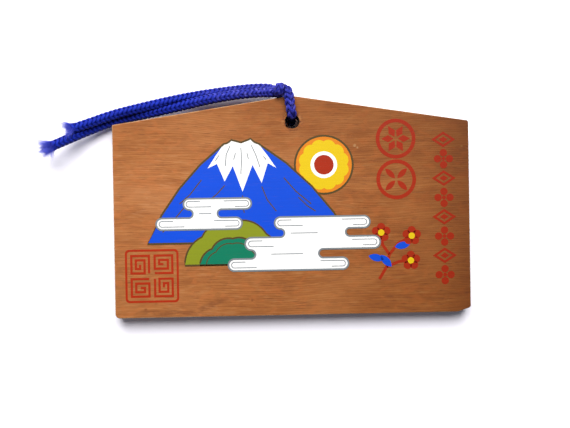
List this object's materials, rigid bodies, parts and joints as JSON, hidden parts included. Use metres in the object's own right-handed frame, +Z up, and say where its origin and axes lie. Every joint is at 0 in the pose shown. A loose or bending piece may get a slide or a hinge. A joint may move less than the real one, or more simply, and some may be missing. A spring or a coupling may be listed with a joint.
{
  "type": "ema plaque",
  "caption": "Gabled wooden votive plaque with a printed face, lying flat, and a knotted braided tie cord through a hole under its apex, for hanging it on a rack.",
  "frame": {"origin": "on the surface that the plaque lies on, under the middle of the board", "axes": "+X along the board's bottom edge, to the right as its face is looked at; +Y towards the gable; +Z up, out of the face. The board leans back by 3.1 degrees, because the cord's back strand lies under its gable end"},
  "size_m": [0.1754, 0.095, 0.0172],
  "materials": {
    "board_wood": "planed bare softwood, gone warm orange brown with age, matt",
    "cord_braid": "round braided blue cord with a slight sheen",
    "cord_fray": "loose frayed fibres of the same blue cord",
    "print_ink": "thin screen-printed ink in flat colours, slightly glossy"
  },
  "bodies": {
    "plaque": {"board": "board_wood"},
    "cord": {"cord_front_half": "cord_braid", "cord_back_half": "cord_braid", "cord_knot": "cord_braid", "fray_front_half": "cord_fray", "fray_back_half": "cord_fray"}
  },
  "joints": [
    {"name": "cord_swing", "type": "hinge", "parent": "plaque", "child": "cord", "pos_m": [0.0004, 0.03415, 0.00827], "axis": [0, 0.0545, -0.9985], "range_deg": [0, 45]}
  ]
}
